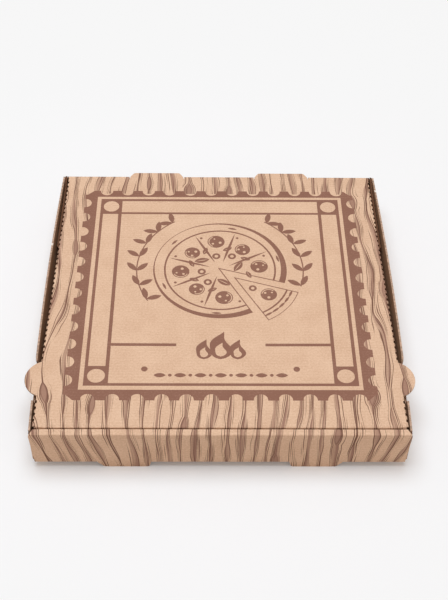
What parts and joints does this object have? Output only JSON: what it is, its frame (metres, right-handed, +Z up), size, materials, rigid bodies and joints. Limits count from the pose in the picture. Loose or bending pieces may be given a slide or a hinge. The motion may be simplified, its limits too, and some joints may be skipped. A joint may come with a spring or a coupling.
{
  "type": "pizza box",
  "caption": "Low square folded box of printed corrugated board: hinged lid with side ears, rolled front wall, vent tabs at the back crease and feet below the base.",
  "frame": {"origin": "on the surface the box stands on, below the middle of the outline of the closed box", "axes": "+X to the right seen from the front, +Y towards the hinge at the back, +Z up"},
  "size_m": [0.3512, 0.3476, 0.0463],
  "materials": {
    "board": "matt kraft corrugated board, printed outside in one brown ink"
  },
  "bodies": {
    "tray": {"tray": "board"},
    "lid": {"lid": "board"}
  },
  "joints": [
    {"name": "lid_hinge", "type": "hinge", "parent": "tray", "child": "lid", "pos_m": [0, 0.16735, 0.0455], "axis": [-1, 0, 0], "range_deg": [0, 180]}
  ]
}
